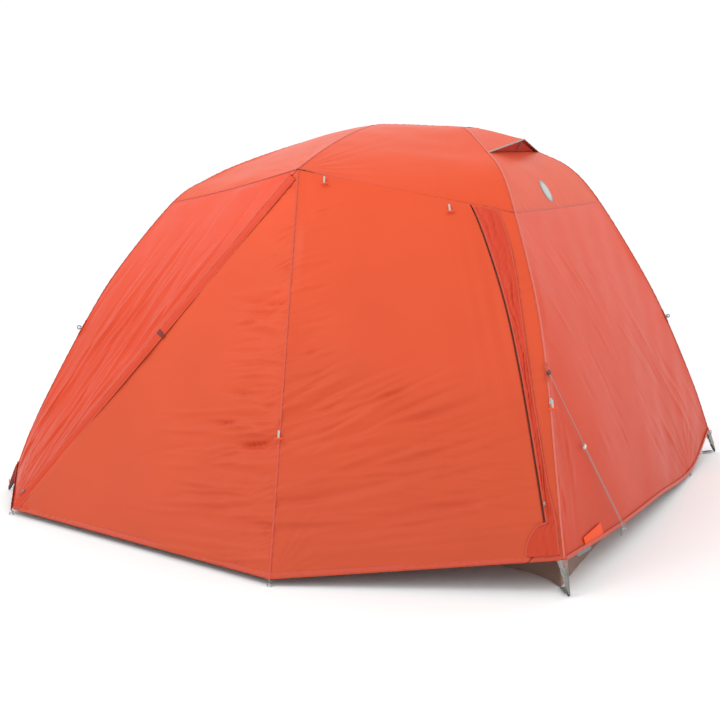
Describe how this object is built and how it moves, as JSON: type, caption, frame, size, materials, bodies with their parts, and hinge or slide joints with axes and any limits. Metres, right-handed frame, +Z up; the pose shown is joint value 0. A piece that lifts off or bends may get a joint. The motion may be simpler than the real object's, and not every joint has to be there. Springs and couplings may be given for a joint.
{
  "type": "tent",
  "caption": "Family camping tent on bent alloy poles: fly with a staked front vestibule and lifting door over an inner tent with a tray floor.",
  "frame": {"origin": "centre of the tray floor's underside, on the ground", "axes": "+Z up, -Y out of the vestibule (the front), +X to the right for someone facing the front, where the second door zip is"},
  "size_m": [2.8508, 3.0863, 1.7294],
  "materials": {
    "fly_cloth": "woven polyester ripstop, satin",
    "fly_light": "woven polyester, lit and thinner looking",
    "inner_cloth": "breathable nylon, matt",
    "floor_cloth": "coated polyester",
    "pole_alloy": "anodised, satin",
    "dark_plastic": "moulded nylon",
    "zip_tape": "coil zip",
    "slider_metal": "plated",
    "orange_plastic": "moulded",
    "white_plastic": "moulded",
    "cord": "braided",
    "webbing": "woven webbing"
  },
  "bodies": {
    "tent": {"brow_hub": "dark_plastic", "brow_pole": "pole_alloy", "corner_webbing_back_left": "webbing", "corner_webbing_back_right": "webbing", "corner_webbing_front_left": "webbing", "corner_webbing_front_right": "webbing", "floor_tray": "floor_cloth", "guy_tab_back_left": "dark_plastic", "guy_tab_back_right": "dark_plastic", "guy_tab_front_left": "dark_plastic", "guy_tab_front_right": "dark_plastic", "guyline": "cord", "hem_hook": "dark_plastic", "inner_back": "inner_cloth", "inner_door_roll": "inner_cloth", "inner_front": "inner_cloth", "inner_left": "inner_cloth", "inner_right": "inner_cloth", "left_zip_chain": "zip_tape", "leg_pole_back_left": "pole_alloy", "leg_pole_back_right": "pole_alloy", "leg_pole_front_left": "pole_alloy", "leg_pole_front_right": "pole_alloy", "pole_tip_back_left": "dark_plastic", "pole_tip_back_right": "dark_plastic", "pole_tip_front_left": "dark_plastic", "pole_tip_front_right": "dark_plastic", "rear_left": "fly_cloth", "rear_right": "fly_cloth", "ridge_hub_left": "dark_plastic", "ridge_hub_right": "dark_plastic", "ridge_pole": "pole_alloy", "right_zip_chain": "zip_tape", "roof_back_left": "fly_cloth", "roof_back_right": "fly_cloth", "roof_front_left": "fly_cloth", "roof_front_right": "fly_cloth", "roof_left": "fly_cloth", "roof_patch": "webbing", "roof_right": "fly_cloth", "stake_front": "pole_alloy", "stake_front_left": "pole_alloy", "stake_left": "pole_alloy", "stake_rear": "pole_alloy", "stake_right": "pole_alloy", "vent_hood": "fly_cloth", "vestibule_left": "fly_light", "vestibule_right": "fly_cloth", "wall_left": "fly_light", "wall_right": "fly_light"},
    "door": {"vestibule_door": "fly_cloth"},
    "left_slider": {"left_zip_slider": "slider_metal"},
    "right_slider": {"right_zip_slider": "slider_metal"},
    "toggle_top_left": {"toggle_top_left": "orange_plastic"},
    "toggle_top_right": {"toggle_top_right": "orange_plastic"},
    "toggle_seam": {"toggle_seam": "orange_plastic"},
    "toggle_side": {"toggle_side": "orange_plastic"},
    "vent_strut": {"vent_strut": "dark_plastic"},
    "line_tensioner": {"line_tensioner": "white_plastic"}
  },
  "joints": [
    {"name": "door_lift", "type": "hinge", "parent": "tent", "child": "door", "pos_m": [0, -0.784, 1.53117], "axis": [-0.9543, -0.2368, 0.1821], "range_deg": [0, 62]},
    {"name": "left_zip_slide", "type": "slide", "parent": "tent", "child": "left_slider", "axis": [0.5579, 0.3384, 0.7578], "range_m": [0, 1.5]},
    {"name": "right_zip_slide", "type": "slide", "parent": "tent", "child": "right_slider", "axis": [-0.3386, 0.3854, 0.8584], "range_m": [0, 0.5]},
    {"name": "toggle_top_left_swing", "type": "hinge", "parent": "door", "child": "toggle_top_left", "pos_m": [0.12607, -0.77988, 1.48914], "axis": [-0.9306, -0.3609, -0.0605], "range_deg": [0, 100]},
    {"name": "toggle_top_right_swing", "type": "hinge", "parent": "door", "child": "toggle_top_right", "pos_m": [0.65534, -0.65732, 1.37872], "axis": [-0.896, -0.414, -0.1608], "range_deg": [0, 100]},
    {"name": "toggle_seam_swing", "type": "hinge", "parent": "door", "child": "toggle_seam", "pos_m": [0.26298, -1.36862, 0.52085], "axis": [-0.9358, -0.3501, -0.041], "range_deg": [0, 100]},
    {"name": "toggle_side_swing", "type": "hinge", "parent": "tent", "child": "toggle_side", "pos_m": [1.22576, -0.9366, 0.66187], "axis": [-0.6139, -0.7675, 0.1846], "range_deg": [0, 100]},
    {"name": "vent_strut_fold", "type": "hinge", "parent": "tent", "child": "vent_strut", "pos_m": [0.6865, 0, 1.604], "axis": [0, 1, 0], "range_deg": [0, 90]},
    {"name": "tensioner_slide", "type": "slide", "parent": "tent", "child": "line_tensioner", "axis": [0.3213, 0.3627, -0.8748], "range_m": [0, 0.15]}
  ]
}
